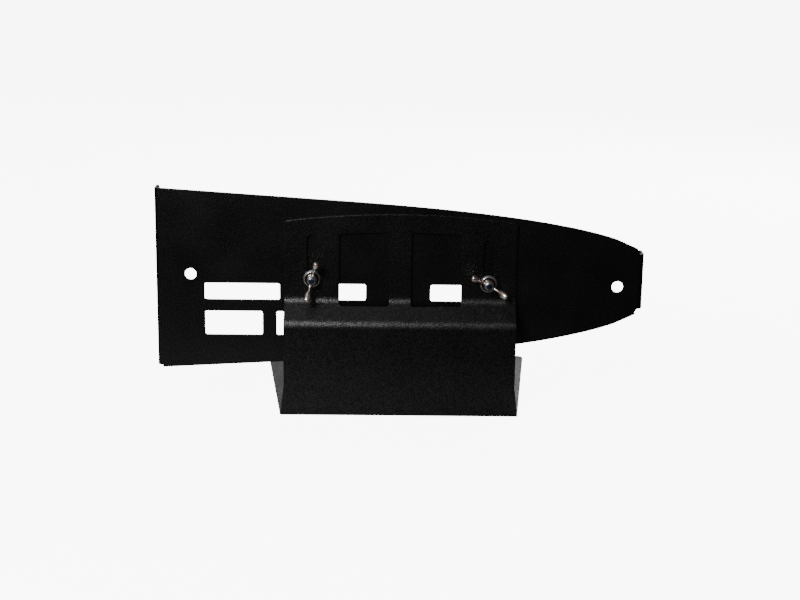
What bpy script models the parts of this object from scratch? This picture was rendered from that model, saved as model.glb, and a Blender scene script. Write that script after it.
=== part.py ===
"""A height-adjustable bench stand for salon tools, in metres, +Z up.

X runs to the right along the panel, Y runs back from it, and the foot plate rests on Z = 0.
The origin lies under the front face of the panel, midway along it.
"""

import math

import bmesh
import bpy
from mathutils import Matrix, Vector

MM = 0.001
MERGE = 0.001 * MM

# Sheet metal, shared by the panel and the stand.
SHEET = 2.0 * MM
CONTACT_GAP = 0.3 * MM      # left between pieces that are clamped together
BEND_STEP = math.radians(15)
ARC_STEP = math.radians(18)
CURVE_STEPS = 18

# Tapered panel, seen from the front.
PANEL_LENGTH = 388.8 * MM
PANEL_BEND_INNER = 2.0 * MM
FLANGE_DEPTH = 20.0 * MM
FLANGE_CORNER = 5.0 * MM
LEFT_FLANGE = (36.4 * MM, 180.9 * MM)      # lowest and highest point
RIGHT_FLANGE = (86.8 * MM, 132.0 * MM)
WIDE_END = (34.4 * MM, 181.1 * MM)         # bottom and top edge where the left bend starts
TOP_SLOPE = -0.0612
BOTTOM_SLOPE = 0.0574
TOP_CURVE_START = -40.0 * MM
BOTTOM_CURVE_START = -40.0 * MM
CURVE_END_INSET = 22.4 * MM                # both insets are from the right end
CURVE_END_HEIGHTS = (74.4 * MM, 143.6 * MM)
CURVE_END_SLOPES = (0.36, -0.33)
NARROW_END_INSET = 5.6 * MM
NARROW_END_HEIGHTS = (82.3 * MM, 136.2 * MM)
BEND_RELIEF = 2.4 * MM

# Cut-outs of the panel. Those at the wide end are set out from that end, and the two behind the
# stand's windows from the panel's middle: left edge and width of each.
UPPER_ROW = (91.3 * MM, 104.8 * MM)        # lowest and highest point of the cut-outs in the row
UPPER_END_CUTOUTS = ((38.4 * MM, 60.0 * MM),)
UPPER_MIDDLE_CUTOUTS = ((-57.4 * MM, 30.0 * MM), (24.2 * MM, 30.0 * MM))
LOWER_ROW = (62.2 * MM, 81.9 * MM)
LOWER_END_CUTOUTS = ((38.6 * MM, 46.0 * MM), (95.6 * MM, 46.0 * MM))
CUTOUT_CORNER = 1.6 * MM

# The round holes and the bolts lie on one line that falls to the right.
ROUND_HOLE_RADIUS = 4.6 * MM
LEFT_HOLE_INSET = 27.6 * MM
LEFT_HOLE_HEIGHT = 111.9 * MM
RIGHT_HOLE_INSET = 20.6 * MM
RIGHT_HOLE_HEIGHT = 104.8 * MM
BOLT_SPACING = 140.4 * MM

# Stand, bent from one sheet. Heights are of its front surface.
STAND_WIDTH = 184.6 * MM
CROWN_HEIGHT = 162.2 * MM
CROWN_RADIUS = 690.0 * MM
CROWN_CORNER = 3.0 * MM
BEND_HEIGHT = 91.9 * MM
BEND_ANGLE = math.radians(45)
BEND_INNER = 9.5 * MM
FACE_STEP = 15.6 * MM       # how far the front face stands out from the upper plate
FOLD_INNER = 1.5 * MM
FOOT_DEPTH = 174.0 * MM
FOOT_CORNER = 6.0 * MM
FLARE_HEIGHT = 25.5 * MM    # where the sides start to flare, on the front face
FLARE_SLOPE = 0.125
WINDOW_WIDTH = 40.0 * MM
TAB_WIDTH = 17.4 * MM
WINDOW_BELOW_CROWN = 14.6 * MM
WINDOW_PAST_BEND = 1.1 * MM
WINDOW_CORNER = 2.0 * MM
SLOT_SLACK = 1.25 * MM      # on each side of the bolt
SLOT_END_SPARE = 1.0 * MM
TRAVEL = 30.0 * MM          # how far the panel slides up from rest

# M6 carriage bolts, washers and wing nuts.
THREAD = 6.0 * MM           # the bolt's diameter, and the width of its square neck
THREAD_SLACK = 0.2 * MM
BOLT_LENGTH = 16.0 * MM
BOLT_TIP_CHAMFER = 0.6 * MM
BOLT_HEAD_RADIUS = 8.2 * MM
BOLT_HEAD_HEIGHT = 3.6 * MM
BOLT_HEAD_RIM = 0.6 * MM
DOME_TURNS = [math.radians(degrees) for degrees in (0, 15, 30, 45, 60, 75, 86)]
NECK_CORNER_SHARE = 0.93    # of a sharp square's half diagonal
NECK_PAST_PANEL = 1.0 * MM
NECK_SLACK = 0.3 * MM
WASHER_RADIUS = 7.0 * MM
WASHER_SLACK = 0.3 * MM
WASHER_THICKNESS = 1.6 * MM
HUB_BASE_RADIUS = 6.5 * MM
HUB_TOP_RADIUS = 4.9 * MM
HUB_HEIGHT = 6.5 * MM
HUB_RIM = 1.4 * MM
HUB_CHAMFER = 0.5 * MM
WING_SPAN = 33.0 * MM
LEFT_WING_ANGLE = math.radians(75.8)
RIGHT_WING_ANGLE = math.radians(-29.3)
# One wing from root to tip: reach, height of the middle, half height and half thickness. The reach
# is from the bolt's axis at the root, and back from the tip at the lobe.
WING_ROOT = [(4.3 * MM, 3.3 * MM, 2.3 * MM, 1.6 * MM), (6.5 * MM, 4.5 * MM, 2.4 * MM, 1.35 * MM),
             (8.8 * MM, 6.3 * MM, 2.7 * MM, 1.3 * MM)]
WING_LOBE = [(5.5 * MM, 8.4 * MM, 3.6 * MM, 1.7 * MM), (3.7 * MM, 9.7 * MM, 4.2 * MM, 2.4 * MM),
             (2.3 * MM, 10.4 * MM, 4.1 * MM, 2.7 * MM), (1.1 * MM, 10.8 * MM, 3.4 * MM, 2.3 * MM),
             (0.3 * MM, 11.0 * MM, 2.1 * MM, 1.4 * MM), (0.0 * MM, 11.1 * MM, 0.8 * MM, 0.5 * MM)]
TURN_STEPS = 32
WING_STEPS = 12
SHARP_ANGLE = math.radians(30)

BLACK_POWDER_COAT = (0.012, 0.012, 0.013)
ZINC = (0.62, 0.60, 0.57)


def clear_scene():
    for old in list(bpy.data.objects):
        bpy.data.objects.remove(old, do_unlink=True)


def make_material(name, colour, roughness, metallic):
    material = bpy.data.materials.new(name)
    material.use_nodes = True
    shader = material.node_tree.nodes["Principled BSDF"]
    shader.inputs["Base Color"].default_value = (*colour, 1.0)
    shader.inputs["Roughness"].default_value = roughness
    shader.inputs["Metallic"].default_value = metallic
    material.diffuse_color = (*colour, 1.0)
    return material


def add_object(name, bm, material, location=(0, 0, 0), rotation=(0, 0, 0), parent=None):
    """Turns a bmesh into a shaded object. Location is in the parent's space."""
    bmesh.ops.recalc_face_normals(bm, faces=bm.faces)
    mesh = bpy.data.meshes.new(name)
    bm.to_mesh(mesh)
    bm.free()
    mesh.materials.append(material)
    mesh.shade_smooth()
    mesh.set_sharp_from_angle(angle=SHARP_ANGLE)
    obj = bpy.data.objects.new(name, mesh)
    bpy.context.scene.collection.objects.link(obj)
    obj.location = location
    obj.rotation_euler = rotation
    obj.parent = parent
    return obj


# Outlines: lists of (u, v) points, in order round the shape.

def rounded(corners):
    """The outline through corners given as (u, v, radius), with each radius as an arc."""
    outline = []
    for i, (u, v, radius) in enumerate(corners):
        corner = Vector((u, v))
        if radius == 0:
            outline.append(corner)
            continue
        back = (Vector(corners[i - 1][:2]) - corner).normalized()
        ahead = (Vector(corners[(i + 1) % len(corners)][:2]) - corner).normalized()
        half_angle = back.angle(ahead) / 2
        centre = corner + (back + ahead).normalized() * (radius / math.sin(half_angle))
        first = corner + back * (radius / math.tan(half_angle)) - centre
        sweep = (math.pi - 2 * half_angle) * math.copysign(1, back.cross(ahead))
        steps = max(2, math.ceil(abs(sweep) / ARC_STEP))
        for k in range(steps + 1):
            outline.append(centre + Matrix.Rotation(-sweep * k / steps, 2) @ first)
    return outline


def box_outline(low_u, low_v, high_u, high_v, radius):
    return rounded([(low_u, low_v, radius), (high_u, low_v, radius),
                    (high_u, high_v, radius), (low_u, high_v, radius)])


def circle(u, v, radius):
    steps = round(math.tau / ARC_STEP)
    return [Vector((u + radius * math.cos(math.tau * k / steps),
                    v + radius * math.sin(math.tau * k / steps))) for k in range(steps)]


def curve_between(start, start_slope, end, end_slope):
    """Points of the parabola that leaves start and reaches end at the given slopes."""
    u = ((end[1] - end_slope * end[0]) - (start[1] - start_slope * start[0])) / (start_slope - end_slope)
    middle = Vector((u, start[1] + start_slope * (u - start[0])))
    start, end = Vector(start), Vector(end)
    shares = [k / CURVE_STEPS for k in range(CURVE_STEPS + 1)]
    return [start * (1 - t) ** 2 + middle * 2 * t * (1 - t) + end * t * t for t in shares]


# Bent sheet. A path is a list of straight lengths and (angle, radius) bends, followed on the
# visible surface. A positive angle turns the sheet towards its hidden side.

def path_lengths(path):
    return [step if isinstance(step, float) else abs(step[0]) * step[1] for step in path]


def bend_lines(path):
    """The developed lengths at which the blank is divided, so that each bend comes out round."""
    lines, start = [], 0.0
    for step, length in zip(path, path_lengths(path)):
        if not isinstance(step, float):
            count = math.ceil(abs(step[0]) / BEND_STEP)
            lines += [start + length * k / count for k in range(count + 1)]
        start += length
    return lines


def folded(path, start_point, start_angle, s, depth):
    """Where a point of the blank lies after bending: s along the path, depth below its visible side."""
    position, angle = Vector(start_point), start_angle
    for i, (step, length) in enumerate(zip(path, path_lengths(path))):
        last = i == len(path) - 1
        along = s if last else min(s, length)
        inward = Vector((-math.sin(angle), math.cos(angle)))
        if isinstance(step, float):
            position += Vector((math.cos(angle), math.sin(angle))) * along
        else:
            turn = step[0] * along / length
            side = math.copysign(1, turn)
            centre = position + inward * step[1] * side
            angle += turn
            inward = Vector((-math.sin(angle), math.cos(angle)))
            position = centre - inward * step[1] * side
        s -= along
        if s <= 0:
            break
    return position + inward * depth


def folded_sheet(outline, holes, path, start_point, start_angle, place):
    """A solid bent sheet. The outline and holes are in (u, s), and place turns (u, a, b) into X, Y, Z."""
    bm = bmesh.new()
    for loop in (outline, *holes):
        points = [p for i, p in enumerate(loop) if (p - loop[i - 1]).length > MERGE]
        verts = [bm.verts.new((p.x, p.y, 0)) for p in points]
        for first, second in zip(verts, verts[1:] + verts[:1]):
            bm.edges.new((first, second))
    bmesh.ops.triangle_fill(bm, use_beauty=True, edges=bm.edges[:])
    for s in bend_lines(path):
        bmesh.ops.bisect_plane(bm, geom=bm.verts[:] + bm.edges[:] + bm.faces[:], dist=MERGE,
                               plane_co=(0, s, 0), plane_no=(0, 1, 0))
    copied = bmesh.ops.extrude_face_region(bm, geom=bm.faces[:])["geom"]
    for vert in copied:
        if isinstance(vert, bmesh.types.BMVert):
            vert.co.z = SHEET
    for vert in bm.verts:
        u, s, depth = vert.co
        a, b = folded(path, start_point, start_angle, s, depth)
        vert.co = place(u, a, b)
    return bm


# Turned and lofted pieces, along local Z.

def ring(radius, height, steps=TURN_STEPS):
    return [Vector((radius * math.cos(math.tau * k / steps),
                    radius * math.sin(math.tau * k / steps), height)) for k in range(steps)]


def square_ring(width, height, steps=TURN_STEPS):
    """A square with its corners eased, on the same angles as a ring."""
    points = []
    for point in ring(1.0, 0.0, steps):
        reach = min(width / 2 / max(abs(point.x), abs(point.y)), width / math.sqrt(2) * NECK_CORNER_SHARE)
        points.append(Vector((point.x * reach, point.y * reach, height)))
    return points


def lofted(rings, looped=False):
    """A closed surface through rings with equal counts: a tube if looped, or with its two ends capped."""
    bm = bmesh.new()
    rows = [[bm.verts.new(point) for point in points] for points in rings]
    followers = rows[1:] + rows[:1] if looped else rows[1:]
    for row, follower in zip(rows, followers):
        for k in range(len(row)):
            after = (k + 1) % len(row)
            bm.faces.new((row[k], row[after], follower[after], follower[k]))
    if not looped:
        bm.faces.new(rows[0])
        bm.faces.new(rows[-1])
    return bm


def panel_top(x):
    return WIDE_END[1] + TOP_SLOPE * (x + PANEL_LENGTH / 2)


def panel_bottom(x):
    return WIDE_END[0] + BOTTOM_SLOPE * (x + PANEL_LENGTH / 2)


def round_holes():
    return [(-PANEL_LENGTH / 2 + LEFT_HOLE_INSET, LEFT_HOLE_HEIGHT),
            (PANEL_LENGTH / 2 - RIGHT_HOLE_INSET, RIGHT_HOLE_HEIGHT)]


def bolt_height(x):
    (left, left_height), (right, right_height) = round_holes()
    return left_height + (x - left) / (right - left) * (right_height - left_height)


def bolt_places():
    return [(x, bolt_height(x)) for x in (-BOLT_SPACING / 2, BOLT_SPACING / 2)]


def make_panel(material):
    radius = PANEL_BEND_INNER + SHEET
    tab = FLANGE_DEPTH - radius
    bend = math.pi / 2 * radius
    flat_start = tab + bend
    flat = PANEL_LENGTH - 2 * radius
    total = flat + 2 * flat_start
    path = [tab, (math.pi / 2, radius), flat, (math.pi / 2, radius), tab]

    def along(x):
        return flat_start + x + PANEL_LENGTH / 2 - radius

    curve_end = PANEL_LENGTH / 2 - CURVE_END_INSET
    narrow_end = along(PANEL_LENGTH / 2 - NARROW_END_INSET)
    top = curve_between((TOP_CURVE_START, panel_top(TOP_CURVE_START)), TOP_SLOPE,
                        (curve_end, CURVE_END_HEIGHTS[1]), CURVE_END_SLOPES[1])
    bottom = curve_between((BOTTOM_CURVE_START, panel_bottom(BOTTOM_CURVE_START)), BOTTOM_SLOPE,
                           (curve_end, CURVE_END_HEIGHTS[0]), CURVE_END_SLOPES[0])
    left = -PANEL_LENGTH / 2 + radius
    corners = [(0.0, LEFT_FLANGE[0], FLANGE_CORNER), (flat_start, LEFT_FLANGE[0], 0),
               (flat_start, panel_bottom(left), 0)]
    corners += [(along(x), z, 0) for x, z in bottom]
    corners += [(narrow_end, NARROW_END_HEIGHTS[0], 0),
                (narrow_end, RIGHT_FLANGE[0] - BEND_RELIEF, 0),
                (flat_start + flat, RIGHT_FLANGE[0], 0),
                (total, RIGHT_FLANGE[0], FLANGE_CORNER), (total, RIGHT_FLANGE[1], FLANGE_CORNER),
                (flat_start + flat, RIGHT_FLANGE[1], 0), (narrow_end, NARROW_END_HEIGHTS[1], 0)]
    corners += [(along(x), z, 0) for x, z in reversed(top)]
    corners += [(flat_start, panel_top(left), 0), (0.0, LEFT_FLANGE[1], FLANGE_CORNER)]
    outline = [Vector((z, s)) for s, z in rounded(corners)]

    holes = [circle(z, along(x), ROUND_HOLE_RADIUS) for x, z in round_holes()]
    end = -PANEL_LENGTH / 2
    rows = ((UPPER_ROW, end, UPPER_END_CUTOUTS), (UPPER_ROW, 0.0, UPPER_MIDDLE_CUTOUTS),
            (LOWER_ROW, end, LOWER_END_CUTOUTS))
    for (low, high), start, cutouts in rows:
        holes += [box_outline(low, along(start + x), high, along(start + x + width), CUTOUT_CORNER)
                  for x, width in cutouts]
    half = THREAD / 2 + NECK_SLACK
    holes += [box_outline(z - half, along(x) - half, z + half, along(x) + half, 0) for x, z in bolt_places()]
    bm = folded_sheet(outline, holes, path, (-PANEL_LENGTH / 2, FLANGE_DEPTH), -math.pi / 2,
                      lambda u, a, b: Vector((a, b, u)))
    return add_object("tapered_panel", bm, material)


def crown_drop(x):
    return CROWN_RADIUS - math.sqrt(CROWN_RADIUS ** 2 - x ** 2)


def crown_points(first_x, last_x, offset):
    return [(x, offset + crown_drop(x), 0) for x in
            (first_x + (last_x - first_x) * k / CURVE_STEPS for k in range(CURVE_STEPS + 1))]


def make_stand(material):
    valley, ridge, fold = BEND_INNER, BEND_INNER + SHEET, FOLD_INNER + SHEET
    tangent = math.tan(BEND_ANGLE / 2)
    ridge_height = BEND_HEIGHT - FACE_STEP / math.tan(BEND_ANGLE)
    upper = CROWN_HEIGHT - BEND_HEIGHT - valley * tangent
    slope = FACE_STEP / math.sin(BEND_ANGLE) - (valley + ridge) * tangent
    face = ridge_height - ridge * tangent - fold
    foot = FOOT_DEPTH - fold
    path = [upper, (-BEND_ANGLE, valley), slope, (BEND_ANGLE, ridge), face, (math.pi / 2, fold), foot]
    to_face = sum(path_lengths(path)[:5])
    total = sum(path_lengths(path))
    flare = to_face + fold - FLARE_HEIGHT
    half = STAND_WIDTH / 2
    rear_half = half + FLARE_SLOPE * (total - flare)

    edge = half - CROWN_CORNER
    right = [(half, crown_drop(half), CROWN_CORNER), (half, flare, 0), (rear_half, total, FOOT_CORNER)]
    left = [(-u, s, radius) for u, s, radius in reversed(right)]
    outline = rounded(crown_points(-edge, edge, 0) + right + left)

    window_end = upper + path_lengths(path)[1] + WINDOW_PAST_BEND
    near, far = TAB_WIDTH / 2, TAB_WIDTH / 2 + WINDOW_WIDTH
    holes = []
    for side in (-1, 1):
        inner, outer = side * near, side * far
        ease = side * WINDOW_CORNER
        top = crown_points(inner + ease, outer - ease, WINDOW_BELOW_CROWN)
        holes.append(rounded([(inner, window_end, WINDOW_CORNER),
                              (inner, WINDOW_BELOW_CROWN + crown_drop(inner), WINDOW_CORNER), *top,
                              (outer, WINDOW_BELOW_CROWN + crown_drop(outer), WINDOW_CORNER),
                              (outer, window_end, WINDOW_CORNER)]))
    slot_radius = THREAD / 2 + SLOT_SLACK
    reach = SLOT_END_SPARE + slot_radius
    for x, z in bolt_places():
        holes.append(box_outline(x - slot_radius, CROWN_HEIGHT - (z + TRAVEL + reach),
                                 x + slot_radius, CROWN_HEIGHT - (z - reach), slot_radius))
    bm = folded_sheet(outline, holes, path, (-SHEET - CONTACT_GAP, CROWN_HEIGHT), -math.pi / 2,
                      lambda u, a, b: Vector((u, a, b)))
    return add_object("stand", bm, material)


def make_bolt(name, x, z, material, parent):
    """A carriage bolt. Local Z points out to the wing nut, from under the head."""
    thread = THREAD / 2
    neck = SHEET + CONTACT_GAP + NECK_PAST_PANEL
    body = [ring(thread - BOLT_TIP_CHAMFER, BOLT_LENGTH), ring(thread, BOLT_LENGTH - BOLT_TIP_CHAMFER),
            ring(thread, neck), square_ring(THREAD, neck), square_ring(THREAD, 0.0)]
    dome_height = BOLT_HEAD_HEIGHT - BOLT_HEAD_RIM
    dome = [ring(BOLT_HEAD_RADIUS * math.cos(turn), -BOLT_HEAD_RIM - dome_height * math.sin(turn))
            for turn in DOME_TURNS]
    bm = lofted(body + [ring(BOLT_HEAD_RADIUS, 0.0)] + dome)
    return add_object(name, bm, material, (x, SHEET + CONTACT_GAP, z), (math.pi / 2, 0, 0), parent)


def make_washer(name, x, z, material, parent):
    y = -SHEET - 2 * CONTACT_GAP
    bore = THREAD / 2 + WASHER_SLACK
    bm = lofted([ring(bore, 0.0), ring(WASHER_RADIUS, 0.0), ring(WASHER_RADIUS, WASHER_THICKNESS),
                 ring(bore, WASHER_THICKNESS)], looped=True)
    return add_object(name, bm, material, (x, y, z), (math.pi / 2, 0, 0), parent)


def make_wing(side):
    lobe = [(WING_SPAN / 2 - back, *sizes) for back, *sizes in WING_LOBE]
    angles = [math.tau * k / WING_STEPS for k in range(WING_STEPS)]
    rings = []
    for reach, middle, half_height, half_thickness in WING_ROOT + lobe:
        rings.append([Vector((side * reach, half_thickness * math.cos(t), middle + half_height * math.sin(t)))
                      for t in angles])
    return lofted(rings)


def make_wing_nut(name, x, z, wing_angle, material, parent):
    """Local Z points out along the bolt, and the wings lie along local X before the nut is turned."""
    bore = THREAD / 2 + THREAD_SLACK
    y = -SHEET - 3 * CONTACT_GAP - WASHER_THICKNESS
    base = HUB_BASE_RADIUS - HUB_CHAMFER
    hub = lofted([ring(bore, 0.0), ring(base, 0.0), ring(HUB_BASE_RADIUS, HUB_CHAMFER),
                  ring(HUB_BASE_RADIUS, HUB_RIM), ring(HUB_TOP_RADIUS, HUB_HEIGHT - HUB_CHAMFER),
                  ring(HUB_TOP_RADIUS - HUB_CHAMFER, HUB_HEIGHT), ring(bore, HUB_HEIGHT)], looped=True)
    turn = (Matrix.Rotation(math.pi / 2, 3, "X") @ Matrix.Rotation(wing_angle, 3, "Z")).to_euler()
    nut = add_object(name, hub, material, (x, y, z), turn, parent)
    for side, word in ((-1, "wing_a"), (1, "wing_b")):
        wing = add_object(f"{name}_{word}", make_wing(side), material, parent=nut)
        wing.hide_render = True
        wing.display_type = "WIRE"
        union = nut.modifiers.new(word, "BOOLEAN")
        union.operation = "UNION"
        union.object = wing
    return nut


def main():
    clear_scene()
    stand_coat = make_material("stand_powder_coat", BLACK_POWDER_COAT, 0.5, 0.0)
    panel_coat = make_material("panel_powder_coat", BLACK_POWDER_COAT, 0.5, 0.0)
    bolt_zinc = make_material("bolt_zinc_plate", ZINC, 0.3, 1.0)
    washer_zinc = make_material("washer_zinc_plate", ZINC, 0.35, 1.0)
    nut_plate = make_material("wing_nut_plate", ZINC, 0.22, 1.0)
    make_stand(stand_coat)
    panel = make_panel(panel_coat)
    sides = zip(("left", "right"), (LEFT_WING_ANGLE, RIGHT_WING_ANGLE), bolt_places())
    for side, wing_angle, (x, z) in sides:
        make_bolt(f"{side}_carriage_bolt", x, z, bolt_zinc, panel)
        make_washer(f"{side}_washer", x, z, washer_zinc, panel)
        make_wing_nut(f"{side}_wing_nut", x, z, wing_angle, nut_plate, panel)


main()
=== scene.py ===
import math
from functools import partial

import bmesh
import bpy
from mathutils import Euler, Matrix, Vector


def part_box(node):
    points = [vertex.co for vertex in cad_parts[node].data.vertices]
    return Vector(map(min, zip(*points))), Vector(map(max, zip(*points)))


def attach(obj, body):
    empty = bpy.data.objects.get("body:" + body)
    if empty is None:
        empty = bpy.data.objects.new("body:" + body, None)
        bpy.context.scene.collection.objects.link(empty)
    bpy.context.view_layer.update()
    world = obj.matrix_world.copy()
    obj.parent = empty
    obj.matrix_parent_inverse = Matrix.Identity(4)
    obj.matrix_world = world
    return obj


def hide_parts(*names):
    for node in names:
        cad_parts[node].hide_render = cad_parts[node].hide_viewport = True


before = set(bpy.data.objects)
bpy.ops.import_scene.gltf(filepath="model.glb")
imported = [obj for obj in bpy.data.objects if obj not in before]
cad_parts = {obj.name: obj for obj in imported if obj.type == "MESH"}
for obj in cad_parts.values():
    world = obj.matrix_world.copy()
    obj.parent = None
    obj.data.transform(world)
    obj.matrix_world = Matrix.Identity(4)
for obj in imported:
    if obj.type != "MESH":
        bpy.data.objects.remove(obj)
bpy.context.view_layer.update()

mm = 0.001
endRadius = 0.02 * mm  # of the small face that closes a turned end
panelLow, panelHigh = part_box("tapered_panel")
standLow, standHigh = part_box("stand")
print("frame loaded:", len(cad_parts), "CAD pieces")


# small helpers

def hexColour(code):
    # sRGB hex to the linear values that a shader takes
    channels = [int(code[i:i + 2], 16) / 255 for i in (1, 3, 5)]
    return (*(c / 12.92 if c <= 0.04045 else ((c + 0.055) / 1.055) ** 2.4 for c in channels), 1.0)


def addNode(tree, kind, settings=None, links=None):
    # settings with a text key are node properties, or input values if the node has such an input
    node = tree.nodes.new(kind)
    for key, value in (settings or {}).items():
        if isinstance(key, str) and hasattr(node, key):
            setattr(node, key, value)
        else:
            node.inputs[key].default_value = value
    for key, source in (links or {}).items():
        tree.links.new(source, node.inputs[key])
    return node


def mathNode(tree, operation, *values, clamp=False):
    # each value is a number or another node's output
    node = addNode(tree, "ShaderNodeMath", {"operation": operation, "use_clamp": clamp})
    for socket, value in enumerate(values):
        if isinstance(value, bpy.types.NodeSocket):
            tree.links.new(value, node.inputs[socket])
        else:
            node.inputs[socket].default_value = value
    return node.outputs[0]


def plainMesh(obj):
    # what the modifiers make becomes the object's own mesh
    graph = bpy.context.evaluated_depsgraph_get()
    mesh = bpy.data.meshes.new_from_object(obj.evaluated_get(graph), depsgraph=graph)
    obj.modifiers.clear()
    obj.data = mesh


def linked(name, data):
    obj = bpy.data.objects.new(name, data)
    bpy.context.scene.collection.objects.link(obj)
    return obj


def fromBmesh(name, bm):
    mesh = bpy.data.meshes.new(name)
    bm.to_mesh(mesh)
    bm.free()
    return linked(name, mesh)


def addTree(obj, tree, values):
    # puts a Geometry Nodes tree on an object, each input set by its socket's identifier
    modifier = obj.modifiers.new(tree.name, "NODES")
    modifier.node_group = tree
    sockets = {s.name: s.identifier for s in tree.interface.items_tree if s.in_out == "INPUT"}
    for name, value in values.items():
        modifier[sockets[name]] = value


def newTree(name, inputs):
    tree = bpy.data.node_groups.new(name, "GeometryNodeTree")
    tree.interface.new_socket("Geometry", in_out="OUTPUT", socket_type="NodeSocketGeometry")
    tree.interface.new_socket("Geometry", in_out="INPUT", socket_type="NodeSocketGeometry")
    for label, kind in inputs:
        tree.interface.new_socket(label, in_out="INPUT", socket_type="NodeSocket" + kind)
    return tree, tree.nodes.new("NodeGroupInput").outputs


def endTree(tree, geometry, material):
    real = addNode(tree, "GeometryNodeRealizeInstances", {}, {"Geometry": geometry})
    painted = addNode(tree, "GeometryNodeSetMaterial", {},
                      {"Geometry": real.outputs[0], "Material": material})
    addNode(tree, "NodeGroupOutput", {}, {"Geometry": painted.outputs[0]})


# materials

def surfaceTree(name):
    material = bpy.data.materials.new(name)
    material.use_nodes = True
    tree = material.node_tree
    shader = tree.nodes["Principled BSDF"]
    place = addNode(tree, "ShaderNodeTexCoord").outputs["Object"]
    return material, tree, shader, place


def grain(tree, place, size, detail=2.0, roughness=0.5):
    # noise whose lumps are about this many metres across
    settings = {"Scale": 1 / size, "Detail": detail, "Roughness": roughness}
    return addNode(tree, "ShaderNodeTexNoise", settings, {"Vector": place}).outputs["Fac"]


def spread(tree, value, low, high, toLow, toHigh):
    settings = {"From Min": low, "From Max": high, "To Min": toLow, "To Max": toHigh}
    return addNode(tree, "ShaderNodeMapRange", settings, {"Value": value}).outputs["Result"]


def mixed(tree, share, first, second):
    node = addNode(tree, "ShaderNodeMix", {"data_type": "RGBA"}, {"Factor": share})
    for socket, colour in ((6, first), (7, second)):
        if isinstance(colour, bpy.types.NodeSocket):
            tree.links.new(colour, node.inputs[socket])
        else:
            node.inputs[socket].default_value = colour
    return node.outputs[2]


def bumped(tree, height, distance, onto=None):
    links = {"Height": height}
    if onto is not None:
        links["Normal"] = onto
    return addNode(tree, "ShaderNodeBump", {"Distance": distance, "Strength": 1.0}, links).outputs["Normal"]


powderCoat = dict(deep="#010101", lit="#060606", edge="#18181a", grainSize=0.95 * mm,
                  grainHeight=0.2 * mm, speckSize=0.8 * mm, peelSize=5 * mm, peelHeight=0.1 * mm,
                  cloudSize=38 * mm, cloudDepth=0.03, dullSpeck=0.22, brightSpeck=0.58,
                  leastWear=0.15, mostWear=0.9, smooth=0.24, rough=0.36)


def texturedPowderCoat(name, shade=1.0):
    # Fine-textured polyester powder, sprayed on steel and baked. It gives a deep satin black that
    # sparkles grain by grain, and it thins and wears a little paler along the cut edges.
    p = powderCoat
    material, tree, shader, place = surfaceTree(name)
    fine = grain(tree, place, p["grainSize"], 3.0, 0.55)
    peel = grain(tree, place, p["peelSize"], 1.0)
    cloud = grain(tree, place, p["cloudSize"])
    speck = spread(tree, grain(tree, place, p["speckSize"], 1.0), 0.36, 0.64, 0.0, 1.0)
    body = mixed(tree, speck, hexColour(p["deep"]), hexColour(p["lit"]))
    rim = addNode(tree, "ShaderNodeAttribute", {"attribute_name": "rim"}).outputs["Fac"]
    worn = mathNode(tree, "MULTIPLY", rim, spread(tree, fine, 0.38, 0.62, p["leastWear"], p["mostWear"]))
    tree.links.new(mixed(tree, worn, body, hexColour(p["edge"])), shader.inputs["Base Color"])
    satin = mathNode(tree, "ADD", spread(tree, fine, 0.3, 0.7, p["rough"], p["smooth"]),
                     spread(tree, cloud, 0.3, 0.7, -p["cloudDepth"], p["cloudDepth"]))
    tree.links.new(satin, shader.inputs["Roughness"])
    gleam = spread(tree, speck, 0.0, 1.0, p["dullSpeck"] * shade, p["brightSpeck"] * shade)
    tree.links.new(gleam, shader.inputs["Specular IOR Level"])
    waves = bumped(tree, peel, p["peelHeight"])
    tree.links.new(bumped(tree, fine, p["grainHeight"], waves), shader.inputs["Normal"])
    return material


plating = dict(smudgeSize=4.5 * mm, smudgeDulls=1.9, pitSize=0.35 * mm, pitHeight=0.006 * mm)


def platedMetal(name, bright, dull, roughness, waveHeight, waveSize, darkShadeColour=None):
    # A thin bright plate over the metal. It mirrors the lights, and the base metal's small waves
    # and a few handling smudges break the reflections up.
    p = plating
    material, tree, shader, place = surfaceTree(name)
    waves = grain(tree, place, waveSize)
    smudge = grain(tree, place, p["smudgeSize"], 3.0, 0.6)
    tone = mixed(tree, spread(tree, smudge, 0.4, 0.68, 0.0, 1.0), hexColour(bright), hexColour(dull))
    if darkShadeColour is not None:
        # painted shade: the marked points, the bolt's cut-off end and the nut's recess, get a dark colour
        # in place of shade and dark reflections
        shadeShare = addNode(tree, "ShaderNodeAttribute", {"attribute_name": "thinPlate"}).outputs["Fac"]
        tone = mixed(tree, shadeShare, tone, hexColour(darkShadeColour))
    tree.links.new(tone, shader.inputs["Base Color"])
    shader.inputs["Metallic"].default_value = 1.0
    dulled = spread(tree, smudge, 0.3, 0.7, roughness, roughness * p["smudgeDulls"])
    tree.links.new(dulled, shader.inputs["Roughness"])
    pits = grain(tree, place, p["pitSize"])
    uneven = bumped(tree, pits, p["pitHeight"], bumped(tree, waves, waveHeight))
    tree.links.new(uneven, shader.inputs["Normal"])
    return material


standCoat = texturedPowderCoat("texturedPowderCoatStand")
panelCoat = texturedPowderCoat("texturedPowderCoatPanel", 0.9)
# Nickel over cast zinc: the brightest finish here, a little warm where it is handled.
# its last colour is painted shade for the recess round the hub
castNickel = platedMetal("nickelPlatedCasting", bright="#f1ece8", dull="#c6ab97", roughness=0.19,
                         waveHeight=0.022 * mm, waveSize=2.4 * mm, darkShadeColour="#3c3632")
# Zinc on steel with a clear blue passivation: duller and cooler than nickel.
# its last colour is a painted dark reflection on the cut-off end
boltZinc = platedMetal("bluePassivatedZincBolt", bright="#c6cbd3", dull="#9298a2", roughness=0.2,
                       waveHeight=0.01 * mm, waveSize=1.2 * mm, darkShadeColour="#4a5262")
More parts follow.
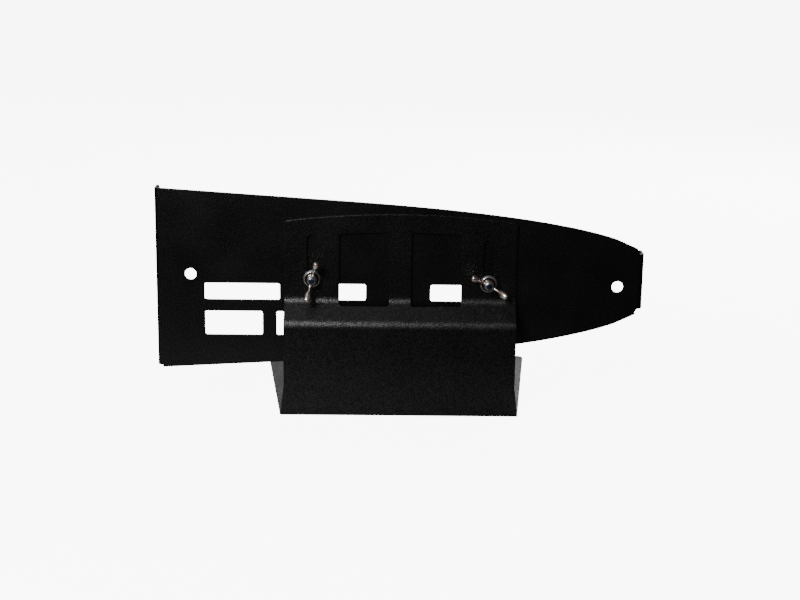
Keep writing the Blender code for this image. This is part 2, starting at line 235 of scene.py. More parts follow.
# The same finish on rolled strip, which is matt. Its colour is darker than the bolt's as painted shade from
# the nut base above it, so it gives only a grey gleam round the nut.
washerZincShaded = platedMetal("bluePassivatedZincWasher", bright="#6a6c70", dull="#45474a", roughness=0.36,
                         waveHeight=0.012 * mm, waveSize=0.9 * mm)
print("materials made")


# flat outlines, as lists of (u, s) points in order round the shape

def roundedOutline(corners, arcStep=math.radians(9)):
    outline = []
    for i, (u, s, radius) in enumerate(corners):
        corner = Vector((u, s))
        if radius == 0:
            outline.append(corner)
            continue
        back = (Vector(corners[i - 1][:2]) - corner).normalized()
        ahead = (Vector(corners[(i + 1) % len(corners)][:2]) - corner).normalized()
        half = back.angle(ahead) / 2
        centre = corner + (back + ahead).normalized() * (radius / math.sin(half))
        first = corner + back * (radius / math.tan(half)) - centre
        sweep = (math.pi - 2 * half) * math.copysign(1, back.cross(ahead))
        steps = max(2, math.ceil(abs(sweep) / arcStep))
        outline += [centre + Matrix.Rotation(-sweep * k / steps, 2) @ first for k in range(steps + 1)]
    return outline


def roundedBox(lowU, lowS, highU, highS, radius):
    corners = ((lowU, lowS), (highU, lowS), (highU, highS), (lowU, highS))
    return roundedOutline([(u, s, radius) for u, s in corners])


def roundHole(u, s, radius, count=56):
    turns = [math.tau * k / count for k in range(count)]
    return [Vector((u + radius * math.cos(t), s + radius * math.sin(t))) for t in turns]


def easedCurve(start, startSlope, end, endSlope, count=36):
    # the parabola that leaves start and reaches end at these slopes
    reach = ((end[1] - endSlope * end[0]) - (start[1] - startSlope * start[0])) / (startSlope - endSlope)
    middle = Vector((reach, start[1] + startSlope * (reach - start[0])))
    shares = [k / count for k in range(count + 1)]
    return [Vector(start) * (1 - t) ** 2 + middle * 2 * t * (1 - t) + Vector(end) * t * t for t in shares]


def cleaned(loop, closest=0.002 * mm):
    return [p for i, p in enumerate(loop) if (p - loop[i - 1]).length > closest]


def signedArea(loop):
    return sum(loop[i - 1].x * p.y - p.x * loop[i - 1].y for i, p in enumerate(loop)) / 2


def outwardNormals(loop, hole):
    # unit vectors out of the sheet at each point of an outline
    turn = math.copysign(1, signedArea(loop)) * (-1 if hole else 1)
    normals = []
    for i, p in enumerate(loop):
        back = (p - loop[i - 1]).normalized()
        ahead = (loop[(i + 1) % len(loop)] - p).normalized()
        along = (back + ahead).normalized()
        normals.append(Vector((along.y, -along.x)) * turn)
    return normals


# bent sheet: a flat blank with eased edges, then folded by a Geometry Nodes tree

sheetMetal = dict(thickness=2.0 * mm, edgeRadius=0.38 * mm, edgeSteps=5, bendStep=math.radians(5))


def flatBlank(name, outline, holes, lines):
    # u and s lie in the sheet and Z is the depth below its visible side
    p = sheetMetal
    bm = bmesh.new()
    normalLayer = bm.verts.layers.float_vector.new("blankNormal")
    rimLayer = bm.verts.layers.float.new("rim")
    faceEdges = {0: [], 1: []}
    quarter = [math.pi / 2 * k / p["edgeSteps"] for k in range(p["edgeSteps"] + 1)]
    for loop, hole in [(outline, False)] + [(h, True) for h in holes]:
        loop = cleaned(loop)
        normals = outwardNormals(loop, hole)
        rows = []
        for side in (0, 1):
            for turn in (quarter if side == 0 else reversed(quarter)):
                inset = p["edgeRadius"] * (1 - math.sin(turn))
                depth = p["edgeRadius"] * (1 - math.cos(turn))
                row = []
                for point, normal in zip(loop, normals):
                    at = point - normal * inset
                    vert = bm.verts.new((at.x, at.y, p["thickness"] - depth if side else depth))
                    up = math.cos(turn) * (1 if side else -1)
                    vert[normalLayer] = Vector((*(normal * math.sin(turn)), up))
                    vert[rimLayer] = math.sin(turn)
                    row.append(vert)
                rows.append(row)
        for row, follower in zip(rows, rows[1:]):
            for k in range(len(row)):
                after = (k + 1) % len(row)
                bm.faces.new((row[k], row[after], follower[after], follower[k]))
        for side, row in ((0, rows[0]), (1, rows[-1])):
            faceEdges[side] += [bm.edges.get((row[k], row[(k + 1) % len(row)])) for k in range(len(row))]
    for side in (0, 1):
        bmesh.ops.triangle_fill(bm, use_beauty=True, use_dissolve=False, edges=faceEdges[side],
                                normal=(0, 0, 1 if side else -1))
    for s in lines:
        bmesh.ops.bisect_plane(bm, geom=bm.verts[:] + bm.edges[:] + bm.faces[:], dist=0.001 * mm,
                               plane_co=(0, s, 0), plane_no=(0, 1, 0))
    bmesh.ops.recalc_face_normals(bm, faces=bm.faces)
    return fromBmesh(name, bm)


def foldTree(bendCount):
    # Folds a blank that lies in XY with its bends across Y. The last bend is made first, so that
    # each fold turns what lies beyond it as one rigid flap.
    words = ("Start", "Angle", "Radius")
    names = [(f"Bend {k + 1} {word}", "Float") for k in range(bendCount) for word in words]
    names += [("Origin", "Vector"), ("Turn", "Rotation"), ("Material", "Material")]
    tree, given = newTree("foldedSheet", names)
    sums = partial(mathNode, tree)

    def stored(name):
        return addNode(tree, "GeometryNodeInputNamedAttribute",
                       {"data_type": "FLOAT_VECTOR", "Name": name}).outputs[0]

    along = addNode(tree, "ShaderNodeSeparateXYZ", {}, {0: stored("blankPlace")}).outputs["Y"]
    place = addNode(tree, "GeometryNodeInputPosition").outputs[0]
    facing = stored("blankNormal")
    for k in reversed(range(bendCount)):
        start, angle, radius = (given[f"Bend {k + 1} {word}"] for word in words)
        length = sums("MULTIPLY", sums("ABSOLUTE", angle), radius)
        end = sums("ADD", start, length)
        within = addNode(tree, "ShaderNodeClamp", {}, {"Value": along, "Min": start, "Max": end})
        gone = sums("SUBTRACT", within.outputs[0], start)
        turn = sums("MULTIPLY", sums("DIVIDE", gone, length), angle)
        centreDepth = sums("MULTIPLY", sums("SIGN", angle), radius)
        shift = addNode(tree, "ShaderNodeCombineXYZ", {}, {"Y": gone}).outputs[0]
        drawnBack = addNode(tree, "ShaderNodeVectorMath", {"operation": "SUBTRACT"},
                            {0: place, 1: shift}).outputs[0]
        centre = addNode(tree, "ShaderNodeCombineXYZ", {}, {"Y": start, "Z": centreDepth}).outputs[0]
        place = addNode(tree, "ShaderNodeVectorRotate", {"rotation_type": "X_AXIS"},
                        {"Vector": drawnBack, "Center": centre, "Angle": turn}).outputs[0]
        facing = addNode(tree, "ShaderNodeVectorRotate", {"rotation_type": "X_AXIS"},
                         {"Vector": facing, "Angle": turn}).outputs[0]
    turned, finalNormal = (addNode(tree, "FunctionNodeRotateVector", {},
                                   {"Vector": vector, "Rotation": given["Turn"]}).outputs[0]
                           for vector in (place, facing))
    stood = addNode(tree, "ShaderNodeVectorMath", {"operation": "ADD"},
                    {0: turned, 1: given["Origin"]}).outputs[0]
    kept = addNode(tree, "GeometryNodeStoreNamedAttribute",
                   {"data_type": "FLOAT_VECTOR", "Name": "trueNormal"},
                   {"Geometry": given["Geometry"], "Value": finalNormal})
    moved = addNode(tree, "GeometryNodeSetPosition", {}, {"Geometry": kept.outputs[0], "Position": stood})
    endTree(tree, moved.outputs[0], given["Material"])
    return tree


def bendsOf(path):
    # where each (angle, radius) step of a path starts along the blank, and the path's full length
    bends, reached = [], 0.0
    for step in path:
        if isinstance(step, tuple):
            bends.append((reached, *step))
            reached += abs(step[0]) * step[1]
        else:
            reached += step
    return bends, reached


def bentSheet(name, outline, holes, path, origin, turn, material):
    bends, _ = bendsOf(path)
    lines = []
    for start, angle, radius in bends:
        count = math.ceil(abs(angle) / sheetMetal["bendStep"])
        lines += [start + abs(angle) * radius * k / count for k in range(count + 1)]
    obj = flatBlank(name, outline, holes, lines)
    flat = obj.data.attributes.new("blankPlace", "FLOAT_VECTOR", "POINT")
    for vert, value in zip(obj.data.vertices, flat.data):
        value.vector = vert.co
    values = {"Origin": origin, "Turn": turn, "Material": material}
    for k, bend in enumerate(bends):
        for word, value in zip(("Start", "Angle", "Radius"), bend):
            values[f"Bend {k + 1} {word}"] = value
    addTree(obj, foldTree(len(bends)), values)
    plainMesh(obj)
    mesh = obj.data
    mesh.shade_smooth()
    normals = [value.vector.normalized() for value in mesh.attributes["trueNormal"].data]
    mesh.normals_split_custom_set_from_vertices(normals)
    for word in ("blankPlace", "blankNormal", "trueNormal"):
        mesh.attributes.remove(mesh.attributes[word])
    return obj


# the stand, bent up from one sheet. Heights are of its front surface.

stand = dict(width=184.6 * mm, crownRadius=690 * mm, crownCorner=3 * mm, bendHeight=91.9 * mm,
             bendAngle=math.radians(45), bendInner=9.5 * mm, faceStep=15.6 * mm, foldInner=1.5 * mm,
             footCorner=6 * mm, flareHeight=25.5 * mm, windowWidth=40 * mm, tabWidth=17.4 * mm,
             windowBelowCrown=14.6 * mm, windowPastBend=1.1 * mm, windowCorner=2 * mm, slotWidth=8.5 * mm,
             slotSpare=1 * mm, slotRoundness=0.999, travel=30 * mm)


def boltAxes():
    # (x, z) of each bolt, which is where its washer is centred
    axes = []
    for side in ("left", "right"):
        low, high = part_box(f"{side}_washer")
        axes.append(((low.x + high.x) / 2, (low.z + high.z) / 2))
    return axes


def makeStand():
    p = stand
    sheet = sheetMetal["thickness"]
    crown = standHigh.z
    valley, ridge, fold = p["bendInner"], p["bendInner"] + sheet, p["foldInner"] + sheet
    tangent = math.tan(p["bendAngle"] / 2)
    ridgeHeight = p["bendHeight"] - p["faceStep"] / math.tan(p["bendAngle"])
    upper = crown - p["bendHeight"] - valley * tangent
    slope = p["faceStep"] / math.sin(p["bendAngle"]) - (valley + ridge) * tangent
    face = ridgeHeight - ridge * tangent - fold
    foot = standHigh.y - standLow.y - fold
    path = [upper, (-p["bendAngle"], valley), slope, (p["bendAngle"], ridge), face,
            (math.pi / 2, fold), foot]
    bends, total = bendsOf(path)
    flare = bends[2][0] + fold - p["flareHeight"]
    half = p["width"] / 2

    def drop(x):
        return p["crownRadius"] - math.sqrt(p["crownRadius"] ** 2 - x ** 2)

    def crownPoints(first, last, offset, count=40):
        across = [first + (last - first) * k / count for k in range(count + 1)]
        return [(x, offset + drop(x), 0) for x in across]

    right = [(half, drop(half), p["crownCorner"]), (half, flare, 0), (standHigh.x, total, p["footCorner"])]
    left = [(-u, s, radius) for u, s, radius in reversed(right)]
    edge = half - p["crownCorner"]
    outline = roundedOutline(crownPoints(-edge, edge, 0) + right + left)
    windowEnd = upper + p["bendAngle"] * valley + p["windowPastBend"]
    below, corner = p["windowBelowCrown"], p["windowCorner"]
    holes = []
    for side in (-1, 1):
        inner, outer = side * p["tabWidth"] / 2, side * (p["tabWidth"] / 2 + p["windowWidth"])
        arch = crownPoints(inner + side * corner, outer - side * corner, below)
        holes.append(roundedOutline([
            (inner, windowEnd, corner), (inner, below + drop(inner), corner), *arch,
            (outer, below + drop(outer), corner), (outer, windowEnd, corner)]))
    radius = p["slotWidth"] / 2
    reach = p["slotSpare"] + radius
    for x, z in boltAxes():
        holes.append(roundedBox(x - radius, crown - (z + p["travel"] + reach),
                                x + radius, crown - (z - reach), radius * p["slotRoundness"]))
    origin = (0, standLow.y + p["faceStep"], crown)
    return bentSheet("benchStand", outline, holes, path, origin, Euler((-math.pi / 2, 0, 0)), standCoat)


# the tapered panel, bent from one sheet, with a flange folded back at each end

panel = dict(bendInner=2 * mm, flangeCorner=5 * mm, leftFlange=(36.4 * mm, 180.9 * mm),
             rightFlange=(86.8 * mm, 132.0 * mm), wideEnd=(34.4 * mm, 181.1 * mm), slopes=(0.0574, -0.0612),
             curveStart=-40 * mm, curveEndInset=22.4 * mm, curveEndHeights=(74.4 * mm, 143.6 * mm),
             curveEndSlopes=(0.36, -0.33), narrowInset=5.6 * mm, narrowHeights=(82.3 * mm, 136.2 * mm),
             bendRelief=2.4 * mm, upperRow=(91.3 * mm, 104.8 * mm), lowerRow=(62.2 * mm, 81.9 * mm),
             upperCutouts=((-156.0 * mm, 60 * mm), (-57.4 * mm, 30 * mm), (24.2 * mm, 30 * mm)),
             lowerCutouts=((-155.8 * mm, 46 * mm), (-98.8 * mm, 46 * mm)), cutoutCorner=1.6 * mm,
             holeRadius=4.6 * mm, holes=((-166.8 * mm, 111.9 * mm), (173.8 * mm, 104.8 * mm)),
             squareHole=6.6 * mm, squareCorner=0.4 * mm)


def makePanel():
    p = panel
    radius = p["bendInner"] + sheetMetal["thickness"]
    length, depth = panelHigh.x - panelLow.x, panelHigh.y - panelLow.y
    tab = depth - radius
    bend = math.pi / 2 * radius
    flatStart, flat = tab + bend, length - 2 * radius
    total = flat + 2 * flatStart
    path = [tab, (math.pi / 2, radius), flat, (math.pi / 2, radius), tab]

    def along(x):
        return flatStart + x + length / 2 - radius

    def edgeHeight(end, x):
        return p["wideEnd"][end] + p["slopes"][end] * (x + length / 2)

    first, last = p["curveStart"], length / 2 - p["curveEndInset"]
    curves = [easedCurve((first, edgeHeight(end, first)), p["slopes"][end],
                         (last, p["curveEndHeights"][end]), p["curveEndSlopes"][end]) for end in (0, 1)]
    left = -length / 2 + radius
    (leftLow, leftHigh), (rightLow, rightHigh) = p["leftFlange"], p["rightFlange"]
    narrow, flatEnd, corner = along(length / 2 - p["narrowInset"]), flatStart + flat, p["flangeCorner"]
    corners = [(0.0, leftLow, corner), (flatStart, leftLow, 0), (flatStart, edgeHeight(0, left), 0)]
    corners += [(along(x), z, 0) for x, z in curves[0]]
    corners += [(narrow, p["narrowHeights"][0], 0), (narrow, rightLow - p["bendRelief"], 0),
                (flatEnd, rightLow, 0), (total, rightLow, corner), (total, rightHigh, corner),
                (flatEnd, rightHigh, 0), (narrow, p["narrowHeights"][1], 0)]
    corners += [(along(x), z, 0) for x, z in reversed(curves[1])]
    corners += [(flatStart, edgeHeight(1, left), 0), (0.0, leftHigh, corner)]
    outline = [Vector((z, s)) for s, z in roundedOutline(corners)]
    holes = [roundHole(z, along(x), p["holeRadius"]) for x, z in p["holes"]]
    for row in ("upper", "lower"):
        low, high = p[row + "Row"]
        for x, width in p[row + "Cutouts"]:
            holes.append(roundedBox(low, along(x), high, along(x + width), p["cutoutCorner"]))
    half = p["squareHole"] / 2
    for x, z in boltAxes():
        holes.append(roundedBox(z - half, along(x) - half, z + half, along(x) + half, p["squareCorner"]))
    # the path starts at the left flange's free edge and runs forward, so s is -Y and depth is +X there
    turn = Matrix(((0, 0, 1), (0, -1, 0), (1, 0, 0))).to_euler()
    return bentSheet("taperedPanel", outline, holes, path, (panelLow.x, panelHigh.y, 0), turn, panelCoat)


standPiece = makeStand()
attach(standPiece, "stand")
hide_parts("stand")
print("stand folded")

panelPiece = makePanel()
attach(panelPiece, "panel")
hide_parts("tapered_panel")
print("panel folded")


# turned hardware, along local Z from the sheet outwards, then laid along -Y at its bolt

def ring(radius, height, count):
    turns = [math.tau * k / count for k in range(count)]
    return [Vector((radius * math.cos(t), radius * math.sin(t), height)) for t in turns]


def lofted(rings, looped=False):
    bm = bmesh.new()
    rows = [[bm.verts.new(point) for point in points] for points in rings]
    for row, follower in zip(rows, rows[1:] + rows[:1] if looped else rows[1:]):
        for k in range(len(row)):
            after = (k + 1) % len(row)
            bm.faces.new((row[k], row[after], follower[after], follower[k]))
    if not looped:
        bm.faces.new(rows[0])
        bm.faces.new(rows[-1])
    bmesh.ops.recalc_face_normals(bm, faces=bm.faces)
    return bm


def easedProfile(corners):
    # a turned outline through (radius, height, easing) corners
    return roundedOutline(corners, math.pi / 8)


def laidAt(obj, x, y, z, turn=0.0):
    # local Z becomes -Y, and the place goes into the mesh
    obj.data.transform(Matrix.Translation((x, y, z)) @ Matrix.Rotation(math.pi / 2, 4, "X")
                       @ Matrix.Rotation(turn, 4, "Z"))
    return obj


def smoothed(obj, material, angle):
    # smooth shading, with a crease wherever two faces meet at more than this angle
    obj.data.shade_smooth()
    obj.data.set_sharp_from_angle(angle=math.radians(angle))
    if material is not None:
        obj.data.materials.clear()
        obj.data.materials.append(material)
    return obj


washer = dict(bore=3.3 * mm, dieRoll=0.35 * mm, burr=0.12 * mm, count=96, sharp=50)  # sharp in degrees


def makeWasher(side, x, z):
    # punched from strip: one face rolls over at its edges, the other keeps a small sharp corner
    p = washer
    low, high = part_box(f"{side}_washer")
    radius, thickness = (high.x - low.x) / 2, high.y - low.y
    profile = easedProfile([(p["bore"], 0, p["burr"]), (radius, 0, p["burr"]),
                            (radius, thickness, p["dieRoll"]), (p["bore"], thickness, p["dieRoll"])])
    bm = lofted([ring(r, h, p["count"]) for r, h in profile], looped=True)
    return smoothed(laidAt(fromBmesh(f"{side}Washer", bm), x, high.y, z), washerZincShaded, p["sharp"])


bolt = dict(diameter=6 * mm, pitch=1 * mm, threadDepth=0.5 * mm, threadFlat=0.14, threadFlank=0.7,
            neckPastPanel=1 * mm, neckCorner=0.93, neckEase=0.06, neckEaseLength=0.25 * mm,
            tipChamfer=0.6 * mm, tipEase=(0.1 * mm, 0.05 * mm), headRadius=8.2 * mm, headHeight=3.6 * mm,
            headRim=0.6 * mm, headCorner=0.25 * mm, headCornerCut=0.07 * mm, underHead=2.3 * mm,
            count=72, rowsPerPitch=14, domeRows=18, sharp=28)
hair = 0.02 * mm  # the least step between two rings


def threadTree():
    # rolls a right-hand thread into the straight part of a shank that lies along Z
    p = bolt
    inputs = [(word, "Float") for word in ("Pitch", "Depth", "Start", "End", "Radius")]
    tree, given = newTree("rolledThread", inputs + [("Material", "Material")])
    sums = partial(mathNode, tree)
    place = addNode(tree, "GeometryNodeInputPosition").outputs[0]
    x, y, z = addNode(tree, "ShaderNodeSeparateXYZ", {}, {0: place}).outputs
    around = sums("DIVIDE", sums("ARCTAN2", y, x), math.tau)
    phase = sums("FRACT", sums("SUBTRACT", sums("DIVIDE", z, given["Pitch"]), around))
    flank = sums("ABSOLUTE", sums("SUBTRACT", sums("MULTIPLY", phase, 2.0), 1.0))
    # flats are left at crest and root
    groove = sums("DIVIDE", sums("SUBTRACT", flank, p["threadFlat"]), p["threadFlank"], clamp=True)
    runIn = sums("DIVIDE", sums("SUBTRACT", z, given["Start"]), given["Pitch"], clamp=True)
    halfPitch = sums("MULTIPLY", given["Pitch"], 0.5)
    runOut = sums("DIVIDE", sums("SUBTRACT", given["End"], z), halfPitch, clamp=True)
    level = addNode(tree, "ShaderNodeCombineXYZ", {}, {"X": x, "Y": y}).outputs[0]
    reach = addNode(tree, "ShaderNodeVectorMath", {"operation": "LENGTH"}, {0: level}).outputs["Value"]
    root = sums("SUBTRACT", given["Radius"], given["Depth"])
    outer = addNode(tree, "FunctionNodeCompare", {"operation": "GREATER_THAN"}, {0: reach, 1: root})
    cut = sums("MULTIPLY", sums("MULTIPLY", groove, given["Depth"]), sums("MULTIPLY", runIn, runOut))
    left = sums("SUBTRACT", 1.0, sums("DIVIDE", cut, given["Radius"]))
    scaled = addNode(tree, "ShaderNodeCombineXYZ", {},
                     {"X": sums("MULTIPLY", x, left), "Y": sums("MULTIPLY", y, left), "Z": z})
    moved = addNode(tree, "GeometryNodeSetPosition", {},
                    {"Geometry": given["Geometry"], "Position": scaled.outputs[0],
                     "Selection": outer.outputs[0]})
    endTree(tree, moved.outputs[0], given["Material"])
    return tree


rolledThread = threadTree()


def markPaintedShade(obj, chosen):
    # marks the points that get painted shade and painted dark reflection, by their radius and height on the
    # bolt's own axis
    shadeShare = obj.data.attributes.new("thinPlate", "FLOAT", "POINT")
    for vert, value in zip(obj.data.vertices, shadeShare.data):
        value.value = float(chosen(math.hypot(vert.co.x, vert.co.y), vert.co.z))


def squareRing(width, height, count, cornerShare):
    points = []
    for point in ring(1.0, 0.0, count):
        reach = min(width / 2 / max(abs(point.x), abs(point.y)), width / math.sqrt(2) * cornerShare)
        points.append(Vector((point.x * reach, point.y * reach, height)))
    return points


def makeBolt(side, x, z):
    p = bolt
    low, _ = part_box(f"{side}_carriage_bolt")
    radius, count = p["diameter"] / 2, p["count"]
    length = -low.y + p["underHead"]
    neck = p["underHead"] + p["neckPastPanel"]
    tip = length - p["tipChamfer"]
    rows = math.ceil((tip - neck) / p["pitch"] * p["rowsPerPitch"])
    easeIn, easeDown = p["tipEase"]
    rings = [ring(endRadius, length, count), ring(radius - p["tipChamfer"] - easeIn, length, count),
             ring(radius - p["tipChamfer"], length - easeDown, count)]
    rings += [ring(radius, tip + (neck - tip) * k / rows, count) for k in range(rows + 1)]
    rings += [squareRing(p["diameter"], neck - hair, count, p["neckCorner"] - p["neckEase"]),
              squareRing(p["diameter"], neck - p["neckEaseLength"], count, p["neckCorner"]),
              squareRing(p["diameter"], 0.0, count, p["neckCorner"])]
    head, dome = p["headRadius"], p["headHeight"] - p["headRim"]
    corner, cut = p["headCorner"], p["headCornerCut"]
    under = [(head - corner, 0.0), (head - cut, -cut), (head, -corner), (head, -p["headRim"])]
    rings += [ring(r, h, count) for r, h in under]
    for k in range(1, p["domeRows"]):
        t = math.pi / 2 * k / p["domeRows"]
        rings.append(ring(head * math.cos(t), -p["headRim"] - dome * math.sin(t), count))
    rings.append(ring(endRadius, -p["headHeight"], count))
    obj = fromBmesh(f"{side}CarriageBolt", lofted(rings))
    addTree(obj, rolledThread, {"Pitch": p["pitch"], "Depth": p["threadDepth"], "Start": neck,
                                "End": length, "Radius": radius, "Material": boltZinc})
    plainMesh(obj)
    # painted dark reflection: the cut-off end gets a dark colour in place of the dark studio it mirrors
    markPaintedShade(obj, lambda r, h: h > length - hair)
    return smoothed(laidAt(obj, x, p["underHead"], z), None, p["sharp"])


wingNut = dict(bore=3.2 * mm, baseRadius=6.25 * mm, baseHeight=1.35 * mm, baseEase=(0.3 * mm, 0.4 * mm),
               rimWidth=0.7 * mm, coneBase=4.5 * mm, coneTop=3.85 * mm, coneEase=(0.3 * mm, 0.2 * mm),
               height=6.5 * mm, shoulder=0.55 * mm, mouthWidth=0.3 * mm, mouthEase=0.1 * mm,
               countersink=0.3 * mm, topChamfer=0.2 * mm, coreInset=0.2 * mm, recess=2.4 * mm,
               voxel=0.16 * mm, smoothing=4, flatness=0.8, count=96, boreCount=72, sectionCount=40,
               perSpan=4, sharp=40, angles={"left": 75.8, "right": -29.3})
# the wing from root to tip: reach, height, half height, half thickness, in mm, as stations of a smooth loft
wingStations = ((3.6, 3.0, 2.3, 1.6), (5.2, 3.9, 2.1, 1.15), (6.8, 5.0, 2.0, 0.95), (8.3, 6.1, 2.2, 1.0),
                (9.5, 7.1, 2.8, 1.5), (10.7, 8.0, 3.4, 2.2), (12.3, 8.9, 3.95, 2.55), (14.0, 9.7, 4.1, 2.6),
                (15.2, 10.2, 3.7, 2.4), (16.0, 10.6, 2.7, 1.85), (16.45, 10.8, 1.2, 0.9))


def catmull(stations, perSpan):
    # points of a smooth curve through the stations
    rows = [Vector(s) for s in stations]
    rows = [rows[0] * 2 - rows[1]] + rows + [rows[-1] * 2 - rows[-2]]
    points = []
    for i in range(1, len(rows) - 2):
        a, b, c, d = rows[i - 1:i + 3]
        for k in range(perSpan):
            t = k / perSpan
            points.append((b * 2 + (c - a) * t + (a * 2 - b * 5 + c * 4 - d) * t ** 2
                           + (b * 3 - a - c * 3 + d) * t ** 3) / 2)
    return points + [rows[-2]]


def makeWing(side):
    # its cross-sections are ovals, a little squared off
    p = wingNut

    def squared(share):
        return math.copysign(abs(share) ** p["flatness"], share)

    turns = [math.tau * k / p["sectionCount"] for k in range(p["sectionCount"])]
    rings = []
    for reach, middle, halfHeight, halfThickness in catmull(wingStations, p["perSpan"]):
        rings.append([Vector((side * reach, halfThickness * squared(math.cos(t)),
                              middle + halfHeight * squared(math.sin(t)))) * mm for t in turns])
    return fromBmesh("wing", lofted(rings))


def combined(obj, other, operation):
    step = obj.modifiers.new(other.name, "BOOLEAN")
    step.operation = operation
    step.object = other
    plainMesh(obj)
    bpy.data.objects.remove(other)


def makeWingNut(side, x, z):
    # The wings are cast onto a core and melt into it. The hub and its base ring are turned, and
    # the bore is cut last.
    p = wingNut
    _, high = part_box(f"{side}_wing_nut")
    root, top, inset = p["baseHeight"] / 2, p["height"] - p["shoulder"], p["coreInset"]
    core = [(endRadius, root), (p["coneBase"] - inset, root), (p["coneTop"] - inset, top), (endRadius, top)]
    obj = fromBmesh(f"{side}WingNut", lofted([ring(r, h, p["count"]) for r, h in core]))
    wings = [makeWing(-1), makeWing(1)]
    pieces = [obj, *wings]
    with bpy.context.temp_override(active_object=obj, object=obj, selected_editable_objects=pieces,
                                   selected_objects=pieces):
        bpy.ops.object.join()
    remesh = obj.modifiers.new("cast", "REMESH")
    remesh.mode = "VOXEL"
    remesh.voxel_size = p["voxel"]
    soften = obj.modifiers.new("soften", "SMOOTH")
    soften.iterations = p["smoothing"]
    soften.factor = 0.5
    plainMesh(obj)
    base, rim, mouth = p["baseHeight"], p["baseRadius"] - p["rimWidth"], p["bore"] + p["mouthWidth"]
    (lowEase, highEase), (rootEase, topEase) = p["baseEase"], p["coneEase"]
    hub = easedProfile([(endRadius, 0, 0), (p["baseRadius"], 0, lowEase), (p["baseRadius"], base, highEase),
                        (rim, base, 0), (p["coneBase"], base, rootEase), (p["coneTop"], top, topEase),
                        (mouth, p["height"], p["mouthEase"]), (endRadius, p["height"], 0)])
    combined(obj, fromBmesh("hub", lofted([ring(r, h, p["count"]) for r, h in hub])), "UNION")
    sink, chamfer = p["countersink"], p["topChamfer"]
    hole = [(p["bore"] + sink + chamfer, -chamfer), (p["bore"] + sink, 0), (p["bore"], sink),
            (p["bore"], p["height"] - chamfer), (p["bore"] + chamfer, p["height"]),
            (p["bore"] + 3 * chamfer, p["height"] + 2 * chamfer)]
    combined(obj, fromBmesh("bore", lofted([ring(r, h, p["boreCount"]) for r, h in hole])), "DIFFERENCE")
    # painted shade: the flat ring and the foot of the hub up to this height get a dark colour in place of
    # the shade in the recess
    markPaintedShade(obj, lambda r, h: r < rim + hair and base - hair < h < base + p["recess"])
    smoothed(obj, castNickel, p["sharp"])
    return laidAt(obj, x, high.y, z, math.radians(p["angles"][side]))


for side, (x, z) in zip(("left", "right"), boltAxes()):
    boltPiece = makeBolt(side, x, z)
    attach(boltPiece, "panel")
    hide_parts(f"{side}_carriage_bolt")
    washerPiece = makeWasher(side, x, z)
    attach(washerPiece, f"{side}_washer")
    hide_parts(f"{side}_washer")
    nutPiece = makeWingNut(side, x, z)
    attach(nutPiece, f"{side}_wing_nut")
    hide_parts(f"{side}_wing_nut")
    print(side, "hardware made")


# floor, lights and camera

paper = dict(size=15, shade=("#e9e9e8", "#efefee"), fibreSize=2 * mm, roughness=0.95, gloss=0.1, glow=8.0,
             middle=(-0.06, -0.06, 0), squeeze=(0.5, 1, 1), near=20 * mm, far=180 * mm,
             nearAlbedo=0.5, farAlbedo=0.03)


def makeFloor():
    # A pale paper sweep. Seen directly it is near white, while reflections find it dimmer further
    # out, as they do between black flags.
    p = paper
    bm = bmesh.new()
    bmesh.ops.create_grid(bm, x_segments=1, y_segments=1, size=p["size"])
    floor = fromBmesh("paperFloor", bm)
    material, tree, shader, place = surfaceTree("paleSeamlessPaper")
    fibre = grain(tree, place, p["fibreSize"], 4.0)
    dark, light = (hexColour(code) for code in p["shade"])
    tree.links.new(mixed(tree, fibre, dark, light), shader.inputs["Base Color"])
    shader.inputs["Roughness"].default_value = p["roughness"]
    shader.inputs["Specular IOR Level"].default_value = p["gloss"]
    direct = addNode(tree, "ShaderNodeLightPath").outputs["Is Camera Ray"]
    wide = addNode(tree, "ShaderNodeVectorMath", {"operation": "MULTIPLY", 1: p["squeeze"]}, {0: place})
    away = addNode(tree, "ShaderNodeVectorMath", {"operation": "DISTANCE", 1: p["middle"]},
                   {0: wide.outputs[0]}).outputs["Value"]
    albedo = spread(tree, away, p["near"], p["far"], p["nearAlbedo"], p["farAlbedo"])
    dim = addNode(tree, "ShaderNodeBsdfDiffuse", {}, {"Color": albedo})
    glow = addNode(tree, "ShaderNodeEmission", {"Color": (1, 1, 1, 1), "Strength": p["glow"]})
    lit = addNode(tree, "ShaderNodeAddShader", {}, {0: shader.outputs[0], 1: glow.outputs[0]})
    chosen = addNode(tree, "ShaderNodeMixShader", {}, {0: direct, 1: dim.outputs[0], 2: lit.outputs[0]})
    tree.links.new(chosen.outputs[0], tree.nodes["Material Output"].inputs["Surface"])
    floor.data.materials.append(material)


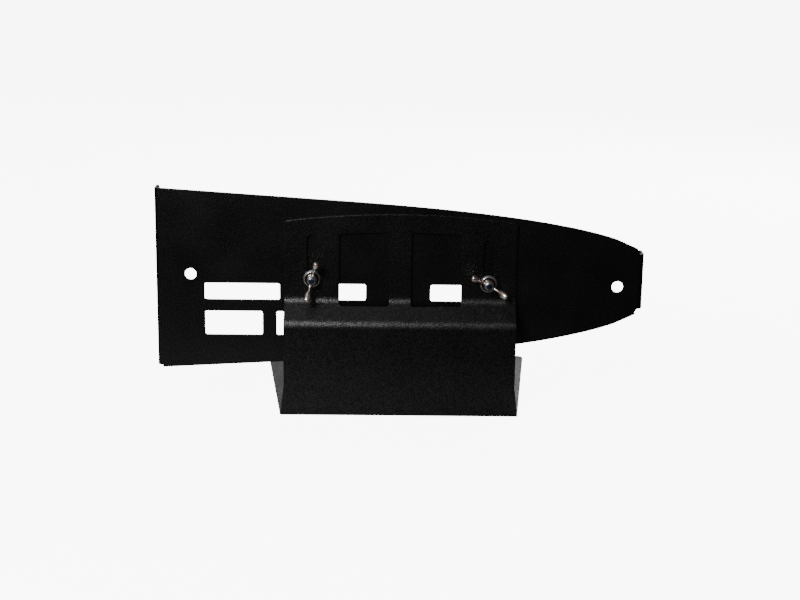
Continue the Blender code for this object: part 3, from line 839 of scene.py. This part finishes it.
# power is in watts, and each light looks from its place to its aim
lights = (
    dict(name="keySoftbox", place=(-0.74, -1.34, 1.04), aim=(0, 0, 0.1), size=(0.56, 0.56), power=42),
    dict(name="topSoftbox", place=(-0.36, -0.2, 1.23), aim=(0, 0, 0.1), size=(0.6, 0.6), power=1.0),
    dict(name="backdropGlow", place=(0, 1.9, 0.62), aim=(0, 0.1, 0), size=(2.0, 0.35), power=2.4),
    dict(name="backFill", place=(0.75, 1.2, 0.95), aim=(0, 0, 0.1), size=(0.9, 0.9), power=30))


def softLight(name, place, aim, size, power):
    data = bpy.data.lights.new(name, "AREA")
    data.shape = "RECTANGLE"
    data.size, data.size_y = size
    data.energy = power
    light = linked(name, data)
    light.location = place
    light.rotation_euler = (Vector(aim) - Vector(place)).to_track_quat("-Z", "Y").to_euler()


camera = dict(target=(0, 0, 92.3 * mm), distance=1.2, elevation=14.0, turn=1.093, roll=0.85,
              lens=67.5, sensor=36, farthest=100)


def makeCamera():
    p = camera
    data = bpy.data.cameras.new("productCamera")
    data.lens = p["lens"]
    data.sensor_width = p["sensor"]
    data.clip_end = p["farthest"]
    obj = linked("productCamera", data)
    rise, turn = math.radians(p["elevation"]), math.radians(p["turn"])
    level = math.cos(rise)
    forward = Vector((math.sin(turn) * level, math.cos(turn) * level, -math.sin(rise)))
    upright = forward.to_track_quat("-Z", "Y").to_matrix().to_4x4()
    rolled = upright @ Matrix.Rotation(math.radians(p["roll"]), 4, "Z")
    obj.matrix_world = Matrix.Translation(Vector(p["target"]) - forward * p["distance"]) @ rolled
    bpy.context.scene.camera = obj


walls = dict(seen=9.0, reflected=0.1)  # how bright the studio round it is, directly and in reflections


def makeWorld():
    world = bpy.data.worlds.new("studio")
    bpy.context.scene.world = world
    world.use_nodes = True
    tree = world.node_tree
    background = tree.nodes["Background"]
    background.inputs["Color"].default_value = (1, 1, 1, 1)
    direct = addNode(tree, "ShaderNodeLightPath").outputs["Is Camera Ray"]
    strength = spread(tree, direct, 0.0, 1.0, walls["reflected"], walls["seen"])
    tree.links.new(strength, background.inputs["Strength"])


makeWorld()
makeFloor()
for light in lights:
    softLight(**light)
makeCamera()
print("studio set")
